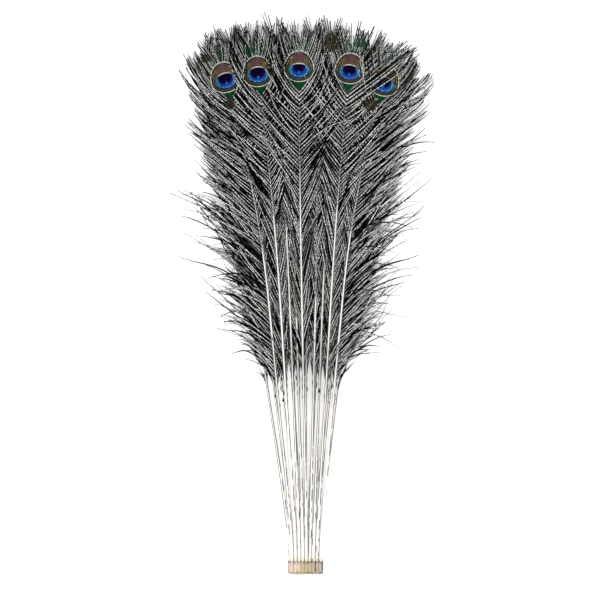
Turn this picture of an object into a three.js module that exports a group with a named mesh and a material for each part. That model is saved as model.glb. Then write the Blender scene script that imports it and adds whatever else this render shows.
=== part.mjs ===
// A tied bunch of eighteen peacock train feathers, lying face up on a flat surface.
// Millimetres: +Y runs from the quill ends to the plume tips, +X to the right, +Z up.
// The quills pass through a band of tan tape in two rows. Above it the shafts fan out, and each
// feather rises to a layer of its own in the pile, so that no vane cuts through another shaft.

import * as THREE from "three";

// The quills where the band holds them
const QUILL_RADIUS = 2.3;
const QUILL_PITCH = 5.0;
const MIDDLE_PLACE = 4;
const ROW_STAGGER = 1.25;
const ROW_RISE = 4.45;

// The band
const TAPE_THICKNESS = 0.6;
const TAPE_CLEARANCE = 0.35;
const BAND_START = 3;
const BAND_END = 20;
const LOWER_ROW_HEIGHT = QUILL_RADIUS + TAPE_CLEARANCE + TAPE_THICKNESS;

// The pile: layer 0 lies on the surface, and the heights of the layers run straight from the
// lowest barbs, where the shafts are thick, to the eyes, where they are thin
const LOW_END = 270;
const EYE_END = 700;
const FLOOR_GAP = { low: 1.85, eye: 0.55 };
const LAYER_PITCH = { low: 2.45, eye: 1.2 };
const RISE_START = 22;
const FAN_BEND = 50;
const MID_HEIGHT = 382;

// The shaft of a feather: its radius along its length, and the rings of its bare stretch
const SHAFT_RADIUS = [
  { at: 0, radius: 1.0 },
  { at: 4, radius: 1.9 },
  { at: 12, radius: QUILL_RADIUS },
  { at: 120, radius: QUILL_RADIUS },
  { at: 270, radius: 1.7 },
  { at: 450, radius: 1.2 },
  { at: 600, radius: 0.8 },
  { at: 700, radius: 0.45 },
  { at: 760, radius: 0.3 },
];
const BARE_STATIONS = [0, 4, 12, 22, 60, 120, 190];
const RING_CORNERS = 8;

// The vane: where it starts on the outermost feathers and how much further up on the middle ones,
// and the barbs' length and their lean from the shaft in degrees. LOW_BARBS count from the vane's
// start, and EYE_BARBS from the middle of the eye.
const OUTER_VANE_START = 262;
const MIDDLE_VANE_RISE = 36;
const LOW_BARBS = [
  { at: 0, length: 42, lean: 34 },
  { at: 35, length: 76, lean: 38 },
  { at: 90, length: 98, lean: 42 },
  { at: 160, length: 104, lean: 42 },
];
const EYE_BARBS = [
  { at: -86, length: 96, lean: 40 },
  { at: -43, length: 80, lean: 36 },
  { at: -21, length: 70, lean: 30 },
  { at: 0, length: 60, lean: 19 },
  { at: 9, length: 52, lean: 4 },
];
const FRONT_REACH = 1.06;
const VANE_THICKNESS = 0.8;

// The toothed edge: in each lock's share of the vane, the barbs at TOOTH reach furthest and those
// at NOTCH least
const LOCK_LENGTHS = [1, 0.94, 1.05, 0.92, 1.08, 0.96, 1.03, 0.9, 1.04, 0.97];
const TOOTH = 0.4;
const NOTCH = 0.9;
const NOTCH_REACH = 0.76;

// The outer edges of the two lowest feathers, left and right, hang down to the surface: their
// barbs fall by this share of the shaft's height for each length that they lean outwards
const DROOPING_SIDES = [-1, 1];
const OUTER_DROOP = 1.3;

// Each feather from the top of the pile down. Row and place say where its quill is in the band.
// midX is where the shaft passes MID_HEIGHT, and eyeX, eyeY where the middle of its eye lies.
// body and head scale the barbs' lengths below the eye and around it.
const FEATHERS = [
  { row: 1, place: 4, midX: -5, eyeX: -9, eyeY: 713, body: 1.0, head: 0.95 },
  { row: 1, place: 7, midX: 35, eyeX: 62, eyeY: 710, body: 1.0, head: 0.95 },
  { row: 1, place: 1, midX: -35, eyeX: -67, eyeY: 706, body: 0.97, head: 0.95 },
  { row: 1, place: 8, midX: 51, eyeX: 111, eyeY: 693, body: 0.95, head: 0.9 },
  { row: 1, place: 0, midX: -51, eyeX: -113, eyeY: 698, body: 0.9, head: 0.9 },
  { row: 1, place: 3, midX: -13, eyeX: -40, eyeY: 736, body: 0.85, head: 0.65 },
  { row: 1, place: 5, midX: 14, eyeX: 12, eyeY: 740, body: 0.85, head: 0.6 },
  { row: 1, place: 2, midX: -22, eyeX: -38, eyeY: 678, body: 0.9, head: 0.9 },
  { row: 1, place: 6, midX: 24, eyeX: 38, eyeY: 668, body: 0.9, head: 0.9 },
  { row: 0, place: 4, midX: 2, eyeX: 2, eyeY: 655, body: 0.9, head: 0.9 },
  { row: 0, place: 5, midX: 19, eyeX: 36, eyeY: 739, body: 0.85, head: 0.6 },
  { row: 0, place: 3, midX: -23, eyeX: -75, eyeY: 731, body: 0.85, head: 0.68 },
  { row: 0, place: 6, midX: 42, eyeX: 90, eyeY: 661, body: 0.9, head: 0.9 },
  { row: 0, place: 2, midX: -45, eyeX: -103, eyeY: 736, body: 0.85, head: 0.6 },
  { row: 0, place: 7, midX: 47, eyeX: 88, eyeY: 724, body: 0.85, head: 0.68 },
  { row: 0, place: 1, midX: -60, eyeX: -105, eyeY: 662, body: 0.85, head: 0.85 },
  { row: 0, place: 8, midX: 60, eyeX: 149, eyeY: 705, body: 0.85, head: 0.7 },
  { row: 0, place: 0, midX: -72, eyeX: -139, eyeY: 716, body: 0.82, head: 0.75 },
];
const TOP_LAYER = FEATHERS.length - 1;

const BELT_STEPS = 24;

const FEATHER_FINISH = { color: 0x6f716c, roughness: 0.5, metalness: 0 };
const TAPE_FINISH = { color: 0xc9b79c, roughness: 0.7, metalness: 0 };

// The value of one key at a place along a list of stations, on straight lines between them
function between(stations, key, place) {
  const next = stations.findIndex(({ at }) => at > place);
  if (next === 0) return stations[0][key];
  if (next < 0) return stations.at(-1)[key];
  const [low, high] = stations.slice(next - 1, next + 1);
  return THREE.MathUtils.mapLinear(place, low.at, high.at, low[key], high[key]);
}

// The height of a layer's middle plane at a distance from the quill ends
function layerHeight(layer, y) {
  const floor = THREE.MathUtils.mapLinear(y, LOW_END, EYE_END, FLOOR_GAP.low, FLOOR_GAP.eye);
  const pitch = THREE.MathUtils.mapLinear(y, LOW_END, EYE_END, LAYER_PITCH.low, LAYER_PITCH.eye);
  return floor + layer * pitch;
}

// Where a quill stands in the band
function quillPlace({ row, place }) {
  const stagger = row === 1 ? ROW_STAGGER : -ROW_STAGGER;
  return new THREE.Vector2((place - MIDDLE_PLACE) * QUILL_PITCH + stagger, LOWER_ROW_HEIGHT + row * ROW_RISE);
}

// How far a shaft has spread from its quill: nothing in the band, then nearly in step with y
function spread(y) {
  const past = Math.max(0, y - BAND_END);
  return (past * past) / (past + FAN_BEND);
}

// A feather's centreline as a function from y to a point. It runs straight from the quill's place
// to midX and bows from there to eyeX. It rises from the band to the feather's layer before the
// barbs start.
function centreline(feather, layer) {
  const quill = quillPlace(feather);
  const [mid, eye] = [spread(MID_HEIGHT), spread(feather.eyeY)];
  const lean = (feather.midX - quill.x) / mid;
  const bow = (feather.eyeX - quill.x - lean * eye) / (eye - mid) ** 2;
  return (y) => {
    const w = spread(y);
    const bowed = bow * Math.max(0, w - mid) ** 2;
    const risen = THREE.MathUtils.smoothstep(y, RISE_START, OUTER_VANE_START);
    const z = THREE.MathUtils.lerp(quill.y, layerHeight(layer, y), risen);
    return new THREE.Vector3(quill.x + lean * w + bowed, y, z);
  };
}

// The stations of one feather's barbs from its vane's start to its front end
function barbStations({ eyeY, body, head }, vaneStart) {
  const scaled = (origin, stretch, size) => ({ at, length, lean }) => {
    return { at: origin + at * stretch, length: length * size, lean };
  };
  return [...LOW_BARBS.map(scaled(vaneStart, 1, body)), ...EYE_BARBS.map(scaled(eyeY, head, head))];
}

// The rings of one feather from the quill's end up. reach is a share of the barbs' length there:
// none on the bare shaft, and on the vane by turns a lock's tooth and the notch above it.
function ringsOf(vaneStart, vaneEnd) {
  const rings = [...BARE_STATIONS, vaneStart].map((y) => ({ y, reach: 0 }));
  LOCK_LENGTHS.forEach((reach, lock) => {
    const along = (share) => THREE.MathUtils.lerp(vaneStart, vaneEnd, (lock + share) / LOCK_LENGTHS.length);
    rings.push({ y: along(TOOTH), reach });
    rings.push({ y: along(NOTCH), reach: NOTCH_REACH });
  });
  rings.splice(-1, 1, { y: vaneEnd, reach: 1 });
  return rings;
}

// One whole feather as a cylinder whose rings are reshaped: round on the bare shaft, and on the
// vane a shaft with a thin wing on each side, swept forward as the barbs are. The corners of a
// ring are the shaft's crest and keel, the two wing tips, and the wings' roots between them.
function featherGeometry(feather, layer) {
  const fromMiddle = Math.abs(feather.place - MIDDLE_PLACE) / MIDDLE_PLACE;
  const vaneStart = OUTER_VANE_START + MIDDLE_VANE_RISE * (1 - fromMiddle);
  const barbs = barbStations(feather, vaneStart);
  const rings = ringsOf(vaneStart, barbs.at(-1).at);
  const line = centreline(feather, layer);
  const droopingSide = DROOPING_SIDES[layer];

  function barbTip(y, side, reach) {
    const root = line(y);
    const ahead = line(y + 1).sub(root).setZ(0).normalize();
    const across = new THREE.Vector3(ahead.y, -ahead.x, 0);
    const length = between(barbs, "length", y) * reach;
    const lean = THREE.MathUtils.degToRad(between(barbs, "lean", y)) * side;
    const tip = root.addScaledVector(ahead, length * Math.cos(lean));
    tip.addScaledVector(across, length * Math.sin(lean));
    const height = layerHeight(layer, tip.y);
    const droop = side === droopingSide ? OUTER_DROOP * reach * Math.abs(Math.sin(lean)) : 0;
    return tip.setZ(height * (1 - droop));
  }

  function shapeCorner({ y, reach }, turn) {
    const side = Math.sign(Math.round(turn.x));
    const onMidplane = Math.abs(turn.z) < 0.1;
    if (reach > 0 && onMidplane) return barbTip(y, side, reach);
    const radius = between(SHAFT_RADIUS, "radius", y);
    const place = line(y);
    const rise = turn.z * radius;
    const wing = THREE.MathUtils.clamp(rise, -VANE_THICKNESS / 2, VANE_THICKNESS / 2);
    place.x += turn.x * radius;
    place.z += reach > 0 && side !== 0 ? wing : rise;
    return place;
  }

  const geometry = new THREE.CylinderGeometry(1, 1, 1, RING_CORNERS, rings.length - 1);
  const position = geometry.getAttribute("position");
  const corner = new THREE.Vector3();
  for (let i = 0; i < position.count; i++) {
    corner.fromBufferAttribute(position, i);
    const ring = rings[Math.round((corner.y + 0.5) * (rings.length - 1))];
    const capCentre = Math.hypot(corner.x, corner.z) < 0.5;
    let placed = shapeCorner(ring, corner);
    if (capCentre) placed = corner.y > 0 ? barbTip(ring.y, 0, FRONT_REACH) : line(-1);
    position.setXYZ(i, placed.x, placed.y, placed.z);
  }
  geometry.deleteAttribute("uv");
  geometry.computeVertexNormals();
  return geometry;
}

// The outline of a belt drawn tight round every quill, at a distance from their surface: the
// convex hull of circles, found by walking the sorted points along the underside and back
function beltOutline(distance) {
  const points = [];
  const radius = QUILL_RADIUS + distance;
  for (const feather of FEATHERS) {
    for (let step = 0; step < BELT_STEPS; step++) {
      const turn = (step / BELT_STEPS) * 2 * Math.PI;
      const arm = new THREE.Vector2(Math.cos(turn), Math.sin(turn)).multiplyScalar(radius);
      points.push(quillPlace(feather).add(arm));
    }
  }
  points.sort((a, b) => a.x - b.x || a.y - b.y);
  const walk = (ordered) => {
    const chain = [];
    for (const point of ordered) {
      while (chain.length > 1) {
        const [before, last] = chain.slice(-2);
        if (last.clone().sub(before).cross(point.clone().sub(before)) > 1e-6) break;
        chain.pop();
      }
      chain.push(point);
    }
    return chain.slice(0, -1);
  };
  return [...walk(points), ...walk([...points].reverse())];
}

// The band of tape: one closed loop round all the quills
function bandGeometry() {
  const shape = new THREE.Shape(beltOutline(TAPE_CLEARANCE + TAPE_THICKNESS));
  shape.holes.push(new THREE.Path(beltOutline(TAPE_CLEARANCE)));
  const geometry = new THREE.ExtrudeGeometry(shape, { depth: BAND_END - BAND_START, bevelEnabled: false });
  return geometry.rotateX(Math.PI / 2).translate(0, BAND_END, 0);
}

const bunch = new THREE.Group();

function addPiece(name, geometry, finish) {
  const mesh = new THREE.Mesh(geometry, new THREE.MeshStandardMaterial(finish));
  mesh.name = name;
  bunch.add(mesh);
}

FEATHERS.forEach((feather, order) => {
  const number = String(order + 1).padStart(2, "0");
  addPiece("feather_" + number, featherGeometry(feather, TOP_LAYER - order), FEATHER_FINISH);
});
addPiece("tape_band", bandGeometry(), TAPE_FINISH);

// The origin is under the middle of the bunch, on the surface that it lies on
const extent = new THREE.Box3().setFromObject(bunch, true);
const middle = extent.getCenter(new THREE.Vector3());
bunch.position.set(-middle.x, -middle.y, -extent.min.z);

export default bunch;
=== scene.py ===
# A tied bunch of eighteen peacock train feathers, lying face up on a pale table. Metres, in the
# frame of the part: +Y runs from the quill ends to the plume tips, +X to the right, +Z up.

import math

import bpy
import numpy as np
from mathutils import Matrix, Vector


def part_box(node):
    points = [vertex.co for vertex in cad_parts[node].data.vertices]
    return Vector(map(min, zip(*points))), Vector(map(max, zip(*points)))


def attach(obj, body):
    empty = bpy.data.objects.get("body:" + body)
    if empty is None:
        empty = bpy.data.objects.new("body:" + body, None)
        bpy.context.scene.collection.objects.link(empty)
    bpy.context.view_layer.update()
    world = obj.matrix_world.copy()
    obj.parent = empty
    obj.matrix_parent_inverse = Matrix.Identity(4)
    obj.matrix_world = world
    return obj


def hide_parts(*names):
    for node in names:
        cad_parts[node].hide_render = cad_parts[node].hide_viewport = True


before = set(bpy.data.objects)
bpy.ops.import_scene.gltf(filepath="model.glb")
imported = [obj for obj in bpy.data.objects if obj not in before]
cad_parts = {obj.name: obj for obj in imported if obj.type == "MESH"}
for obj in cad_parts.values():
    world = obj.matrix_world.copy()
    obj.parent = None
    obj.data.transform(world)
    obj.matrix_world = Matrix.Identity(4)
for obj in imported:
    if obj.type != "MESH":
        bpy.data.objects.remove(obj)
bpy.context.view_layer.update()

# How the feathers lie
# The quills stand in two rows inside a band of tape. Above the band the shafts fan out, and each
# feather rises to a layer of its own in the pile: the first in the list is the top one.
BAND_START = 0.003
BAND_END = 0.020
QUILL_RADIUS = 0.0023
QUILL_PITCH = 0.005
MIDDLE_PLACE = 4
ROW_STAGGER = 0.00125
ROW_RISE = 0.00445
TAPE_THICKNESS = 0.0006
TAPE_CLEARANCE = 0.00035
LOWER_ROW_HEIGHT = QUILL_RADIUS + TAPE_CLEARANCE + TAPE_THICKNESS
LOW_END = 0.270
EYE_END = 0.700
FLOOR_GAP = (0.00185, 0.00055)
LAYER_PITCH = (0.00245, 0.0012)
RISE_START = 0.022
OUTER_VANE_START = 0.264
MIDDLE_VANE_RISE = 0.014
FAN_BEND = 0.050
MID_HEIGHT = 0.382

band_low, band_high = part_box("tape_band")
QUILL_ENDS = np.array([(band_low.x + band_high.x) / 2, band_low.y - BAND_START, band_low.z])

# The feather's row and place in the band, where its shaft passes at mid height and at the eye, how
# large its body and head are, how far up its shaft lies bare, and how wide the eye's heart is: 0
# where the eye's face is covered.
FEATHER_KEYS = ("row", "place", "mid_x", "eye_x", "eye_y", "body", "head", "bare", "heart")
FEATHER_TABLE = [
    (1, 4, -0.005, -0.009, 0.713, 1.00, 0.95, 0.580, 1.00),
    (1, 7, 0.035, 0.062, 0.710, 1.00, 0.95, 0.530, 1.12),
    (1, 1, -0.035, -0.067, 0.706, 0.97, 0.95, 0.515, 1.25),
    (1, 8, 0.051, 0.111, 0.693, 0.95, 0.90, 0.490, 1.15),
    (1, 0, -0.051, -0.113, 0.698, 0.90, 0.90, 0.465, 1.20),
    (1, 3, -0.013, -0.040, 0.736, 0.85, 0.65, 0.400, 0),
    (1, 5, 0.014, 0.012, 0.740, 0.85, 0.60, 0.400, 0),
    (1, 2, -0.022, -0.038, 0.678, 0.90, 0.90, 0.500, 0),
    (1, 6, 0.024, 0.038, 0.668, 0.90, 0.90, 0.440, 0),
    (0, 4, 0.002, 0.002, 0.655, 0.90, 0.90, 0.410, 0),
    (0, 5, 0.019, 0.036, 0.739, 0.85, 0.60, 0.400, 0),
    (0, 3, -0.023, -0.075, 0.731, 0.85, 0.68, 0.400, 0),
    (0, 6, 0.042, 0.090, 0.661, 0.90, 0.90, 0.400, 0),
    (0, 2, -0.045, -0.103, 0.736, 0.85, 0.60, 0.380, 0),
    (0, 7, 0.047, 0.088, 0.724, 0.85, 0.68, 0.400, 0),
    (0, 1, -0.060, -0.105, 0.662, 0.85, 0.85, 0.360, 0),
    (0, 8, 0.060, 0.149, 0.705, 0.85, 0.70, 0.360, 0),
    (0, 0, -0.072, -0.139, 0.716, 0.82, 0.75, 0.360, 0),
]
FEATHERS = [dict(zip(FEATHER_KEYS, row)) for row in FEATHER_TABLE]


def layer_of(order):
    """The layer in which a feather lies, 0 on the table."""
    return len(FEATHERS) - 1 - order


def between_ends(ends, y):
    """A value that runs straight from the lowest barbs to the eyes."""
    return ends[0] + (y - LOW_END) / (EYE_END - LOW_END) * (ends[1] - ends[0])


def layer_height(layer, y):
    """The height of a layer's middle plane at a distance from the quill ends."""
    return between_ends(FLOOR_GAP, y) + layer * between_ends(LAYER_PITCH, y)


def smooth(value, low, high):
    """0 below low, 1 above high, and a soft step between them."""
    share = np.clip((value - low) / (high - low), 0, 1)
    return share * share * (3 - 2 * share)


def quill_place(feather):
    """Where a quill's axis stands in the band, across and up."""
    stagger = ROW_STAGGER if feather["row"] == 1 else -ROW_STAGGER
    across = (feather["place"] - MIDDLE_PLACE) * QUILL_PITCH + stagger
    return across, LOWER_ROW_HEIGHT + feather["row"] * ROW_RISE


def spread(y):
    """How far a shaft has spread from its quill: nothing in the band, then nearly in step with y."""
    past = np.maximum(0, y - BAND_END)
    return past * past / (past + FAN_BEND)


def shaft_line(feather, layer):
    """The feather's centreline, as a function from distances along it to points."""
    quill_x, quill_z = quill_place(feather)
    mid, eye = spread(MID_HEIGHT), spread(feather["eye_y"])
    lean = (feather["mid_x"] - quill_x) / mid
    bow = (feather["eye_x"] - quill_x - lean * eye) / (eye - mid) ** 2

    def point(y):
        wide = spread(y)
        x = quill_x + lean * wide + bow * np.maximum(0, wide - mid) ** 2
        risen = smooth(y, RISE_START, OUTER_VANE_START)
        z = quill_z + risen * (layer_height(layer, y) - quill_z)
        return np.stack([x, y, z], -1)

    return point


def vane_start(feather):
    """Where the lowest barbs sit: further up on the feathers in the middle of the bunch."""
    from_middle = abs(feather["place"] - MIDDLE_PLACE) / MIDDLE_PLACE
    return OUTER_VANE_START + MIDDLE_VANE_RISE * (1 - from_middle)


# The shafts
# A shaft is one horn tube: a round hollow quill, cut and rounded off at its end, which tapers into
# the pith-filled shaft that carries the barbs. Painted shadow lines for the gaps between neighbouring
# quills run down both of its flanks, and painted shade darkens its sides.
SHAFT_RADIUS = [
    (0.000, 0.0010), (0.004, 0.0019), (0.012, QUILL_RADIUS), (0.120, QUILL_RADIUS), (0.270, 0.0016),
    (0.380, 0.0011), (0.500, 0.0008), (0.650, 0.0006), (0.700, 0.00045), (0.760, 0.0003),
]
NIB_STATIONS = [0, 0.0004, 0.0012, 0.0025, 0.004, 0.007, 0.012]
NIB_SPREAD = 0.0016
SHAFT_START = 0.018
SHAFT_STEP = 0.008
SHAFT_CORNERS = 10
END_MARGIN = 0.002
COVER_RISE = 0.030
REST_GAP = 0.0003


def tube(ring_points):
    """Faces round and along rings of points, with a point at each end. ring_points is (rings, corners, 3)."""
    rings, corners = ring_points.shape[:2]
    ends = ring_points[[0, -1]].mean(1)
    points = np.concatenate([ring_points.reshape(-1, 3), ends])
    index = np.arange(rings * corners).reshape(rings, corners)
    beside = np.roll(index, -1, 1)
    walls = np.stack([index[:-1], beside[:-1], beside[1:], index[1:]], -1).reshape(-1, 4)
    first = np.full(corners, rings * corners)
    near = np.stack([first, beside[0], index[0]], -1)
    far = np.stack([first + 1, index[-1], beside[-1]], -1)
    return points, [walls, near, far]


def shaft_sheet(feather, layer, end, tone):
    """The mesh of one shaft, which sinks under its barbs where it isn't bare. Its points carry the turn
    round it, the place along it and the feather's tone."""
    along = np.concatenate([NIB_STATIONS, np.arange(SHAFT_START, end, SHAFT_STEP), [end]])
    middle = shaft_line(feather, layer)(along)
    radius = np.interp(along, *np.transpose(SHAFT_RADIUS))[:, None]
    middle[:, 2] -= radius[:, 0] * smooth(along, feather["bare"] - COVER_RISE, feather["bare"])
    middle[:, 2] = np.maximum(middle[:, 2], radius[:, 0] + REST_GAP / 2)
    middle[:, 1] += NIB_SPREAD * tone * smooth(-along, -NIB_STATIONS[-1], 0)
    turn = np.arange(SHAFT_CORNERS) / SHAFT_CORNERS * 2 * math.pi
    rings = np.repeat(middle[:, None], SHAFT_CORNERS, 1)
    rings[..., 0] += radius * np.cos(turn)
    rings[..., 2] += radius * np.sin(turn)
    points, faces = tube(rings)
    carried = np.zeros((len(points), 3))
    carried[: rings[..., 0].size, 0] = np.tile(np.cos(turn), len(along))
    carried[: rings[..., 0].size, 1] = np.repeat(along, SHAFT_CORNERS)
    carried[-2:, 1] = [-END_MARGIN, end + END_MARGIN]
    carried[:, 2] = tone
    return dict(points=points, faces=faces, carried=carried, finish=0)


class Dye:
    """A socket in a finish's nodes, so that sums on dyes are written as sums."""

    def __init__(self, tree, socket=None):
        self.tree = tree
        self.socket = socket

    def node(self, kind, settings, sockets, output=0):
        """Adds a node of a kind with its settings, then the values or dyes of its sockets."""
        made = self.tree.nodes.new(kind)
        for name, value in settings.items():
            setattr(made, name, value)
        for name, value in sockets.items():
            if isinstance(value, Dye):
                self.tree.links.new(value.socket, made.inputs[name])
            else:
                made.inputs[name].default_value = value
        return Dye(self.tree, made.outputs[output])

    def math(self, operation, *values):
        return self.node("ShaderNodeMath", {"operation": operation}, dict(enumerate(values)))

    def __add__(self, other):
        return self.math("ADD", self, other)

    def __sub__(self, other):
        return self.math("SUBTRACT", self, other)

    def __rsub__(self, other):
        return self.math("SUBTRACT", other, self)

    def __mul__(self, other):
        return self.math("MULTIPLY", self, other)

    def __truediv__(self, other):
        return self.math("DIVIDE", self, other)

    def __abs__(self):
        return self.math("ABSOLUTE", self)

    __radd__ = __add__
    __rmul__ = __mul__

    def root(self):
        return self.math("SQRT", self)

    def step(self, low, high):
        """A soft step from 0 at low to 1 at high, or the other way where high is the lower one."""
        rising = low < high
        sockets = {"Value": self, "From Min": min(low, high), "From Max": max(low, high)}
        sockets.update({"To Min": 1 - rising, "To Max": rising})
        return self.node("ShaderNodeMapRange", {"interpolation_type": "SMOOTHSTEP"}, sockets)

    def between(self, low, low_inside, high_inside, high):
        """1 between the two inner values and 0 past the two outer ones."""
        return self.step(low, low_inside) * self.step(high, high_inside)

    def attribute(self, name):
        """What the mesh's points carry under a name, as three dyes."""
        carried = self.node("ShaderNodeAttribute", {"attribute_name": name}, {}, "Vector")
        parts = self.node("ShaderNodeSeparateXYZ", {}, {0: carried}).socket.node
        return [Dye(self.tree, socket) for socket in parts.outputs]

    def noise(self, place, scale, detail=2.0):
        sockets = {"Vector": place, "Scale": scale, "Detail": detail}
        return self.node("ShaderNodeTexNoise", {}, sockets, "Fac")

    def mix(self, share, first, second, blend="MIX"):
        """A colour between two, first where share is 0."""
        sockets = {0: share, 6: first, 7: second}
        return self.node("ShaderNodeMix", {"data_type": "RGBA", "blend_type": blend}, sockets, 2)

    def place(self, x, y, z):
        return self.node("ShaderNodeCombineXYZ", {}, {0: x, 1: y, 2: z})

    def reach(self, shader, socket):
        """Links the dye to one of the shader's sockets."""
        self.tree.links.new(self.socket, shader.inputs[socket])


def paint(red, green, blue):
    """A colour given as it shows on a screen, 0 to 255, turned into the light that it reflects."""
    shares = [channel / 255 for channel in (red, green, blue)]
    return (*[s / 12.92 if s < 0.04045 else ((s + 0.055) / 1.055) ** 2.4 for s in shares], 1.0)


def finish_of(name, roughness, **constants):
    """A new material, its first dye and its shader."""
    material = bpy.data.materials.new(name)
    material.use_nodes = True
    shader = material.node_tree.nodes["Principled BSDF"]
    shader.inputs["Roughness"].default_value = roughness
    for socket, value in constants.items():
        shader.inputs[socket.replace("_", " ")].default_value = value
    return material, Dye(material.node_tree), shader


HORN = paint(255, 254, 251)
HORN_SHADE = paint(236, 230, 214)
HORN_SIDE_SHADE = paint(196, 192, 182)
HORN_STAIN = paint(206, 186, 160)
HORN_TIP = paint(96, 91, 82)
GAP_SHADOW_AND_SPECK = paint(14, 13, 13)

shaft_finish, dye, shader = finish_of("feather_shaft", 0.38, Specular_IOR_Level=0.4)
turn, along, tone = dye.attribute("carried")
fibre = dye.noise(dye.place(turn * 3.0, along * 60.0, tone * 9.0), 3.0)
horn = dye.mix(fibre.step(0.45, 0.75), HORN, HORN_SHADE)
# Painted shade darkens both sides of the round shaft
horn = dye.mix(abs(turn).step(0.55, 1.0) * 0.5, horn, HORN_SIDE_SHADE)
horn = dye.mix(along.step(0.510, 0.590) * 0.85, horn, HORN_TIP)
cloudy = dye.noise(dye.place(turn * 2.0, along * 400.0, tone * 7.0), 1.0)
horn = dye.mix(along.step(0.031, 0.019) * cloudy * 1.1, horn, HORN_STAIN)

# Painted shadow of the gaps between neighbouring quills: a dark line that comes and goes, on one flank, and
# on some feathers on both
dash = dye.noise(dye.place(along * 34.0, tone * 31.0, turn * 0.3), 2.0, 3.0)
gap_shadow = abs(turn - 0.58).step(0.34, 0.22) * (dash + along * 1.7 + tone * 0.10).step(0.74, 0.80)
second = abs(turn + 0.62).step(0.26, 0.16) * (dash * -1.0 + along * 1.5 + tone * 0.3).step(-0.20, -0.12)
gap_shadow = (gap_shadow + second * tone.step(0.35, 0.45)) * along.step(0.36, 0.30)
speck = dye.noise(dye.place(turn * 2.0, along * 160.0, tone * 17.0), 2.2, 3.0).step(0.70, 0.76)
horn = dye.mix(speck * 0.45, horn, GAP_SHADOW_AND_SPECK)
dye.mix(gap_shadow * 0.9, horn, GAP_SHADOW_AND_SPECK).reach(shader, "Base Color")

# The loose barbs
# A barb is a flat horn thread with a fringe of barbules down both edges, all pointing to its tip.
# It grows from the shaft's flank. Every other barb carries a painted silver sheen beside a dark one,
# and the barbs sag from their own layer towards the feathers underneath.

# Distance from the lowest barb or from the eye, length, and lean from the shaft in degrees
LOW_BARBS = [
    (-0.030, 0.010, 3), (-0.006, 0.014, 5), (0.002, 0.024, 14), (0.012, 0.046, 34),
    (0.035, 0.076, 38), (0.090, 0.098, 42), (0.160, 0.104, 42),
]
EYE_BARBS = [(-0.086, 0.096, 40), (-0.043, 0.080, 36), (-0.021, 0.070, 30), (0, 0.060, 19), (0.009, 0.052, 4)]
LOOSE_SPACING = 0.0029
EYE_SPACING = 0.0014
CROWN_SPACING = 0.0019
CLOSING_ZONE = (-0.075, -0.052)
CROWN_ZONE = (-0.004, 0.002)
NEAR_EYE = (-0.075, -0.045)
SHOWN_FEATHERS = 5
STATIONS_SHOWN = 44
STATIONS_COVERED = 28

# Barbs hang together in clumps, and in the core of the bunch they lie close along the shafts
CLUMP_SIZE = (3, 8)
CLUMP_VARIETY = 0.09
CLUMP_PULL = 0.6
SHORT_BARB = 0.060
LENGTH_VARIETY = 0.05
LEAN_VARIETY = 2.0
EYE_LEAN_SHARE = 0.3
CORE_HALF_WIDTH = 0.068
CORE_FADE = (0.35, 1.0)
CORE_END = (0.44, 0.60)
CORE_SHORTENING = 0.55
CORE_LEAN_VARIETY = 4.5
HUGGING = 0.80

# How a barb curves from its root to its tip, in degrees: loose, and where it bends round the eye
LOOSE_CURVE = (5, -4)
EYE_CURVE = (7, -24)
EYE_CURVE_ZONE = (-0.110, -0.060)
EYE_CURVE_LEANS = (18, 34)
TIP_VARIETY = 6
BEND = (0.8, 1.6)
WAVE = 2.5
WAVE_TURNS = (5, 11)

# The barbs of the second feather that reach over the eye beside them
OVERLAPPING = (1,)
OVERLAP = 0.65
OVERLAP_LEAN = 11
OVERLAP_START = (0.642, 0.652)
OVERLAP_END = (0.694, 0.704)
OVERLAP_STRAIGHTER = 0.9
CROSSED_EYES = [(1, 3)]

# Barbs that lean away from their clump: how likely, by how much, and how far past the edge
AWAY_CHANCE = (0.02, 0.24)
AWAY_START = (0.27, 0.30)
AWAY_END = (0.42, 0.60)
AWAY_INSIDE = 0.4
AWAY_TURN = (15, 50)
AWAY_BEND = (1.6, 3.0)
AWAY_REACH = (0.005, 0.038)

# How the barbs lie over and under each other
SAG = (0.28, 0.03)
SAG_ZONE = (0.40, 0.52)
SAG_CURVE = 0.8
CORE_SAG = 0.45
CORE_SAG_VARIETY = (0.2, 1)
LOWEST_SAG = 0.30
LOWEST_SAG_ZONE = (0.262, 0.340)
TILT = (0.0030, 0.0016)
TILT_ZONE = (0.42, 0.56)
ROOT_LIFT = 0.5
EYE_CENTRE = -0.0026
EYE_GUARD = (20, 24)
GUARD_FADE = (1.0, 1.35)
BARE_EDGE = (9, 14)
UNDER_EYE = 0.0012
OVER_EYE = 0.0016
BARE_SHAFTS = (7, 8)
SHAFT_CLEAR = (0.0020, 0.0055)
UNDER_SHAFT = 0.0012

# How far the barbs' tips reach to the left and to the right, at distances from the quill ends
EDGES = [
    (0.260, 0.044, 0.040), (0.287, 0.056, 0.048), (0.333, 0.075, 0.067), (0.381, 0.087, 0.082),
    (0.427, 0.098, 0.097), (0.473, 0.105, 0.104), (0.510, 0.120, 0.116), (0.545, 0.132, 0.138),
    (0.567, 0.138, 0.152), (0.592, 0.147, 0.154), (0.626, 0.153, 0.159), (0.660, 0.155, 0.170),
    (0.700, 0.163, 0.174), (0.727, 0.163, 0.155), (0.745, 0.160, 0.137), (0.760, 0.135, 0.110),
    (0.785, 0.090, 0.070),
]
EDGE_SLACK = 0.007
WIDEST = 0.182
SHORTENINGS = 4
SHORTEST = 0.3

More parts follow.
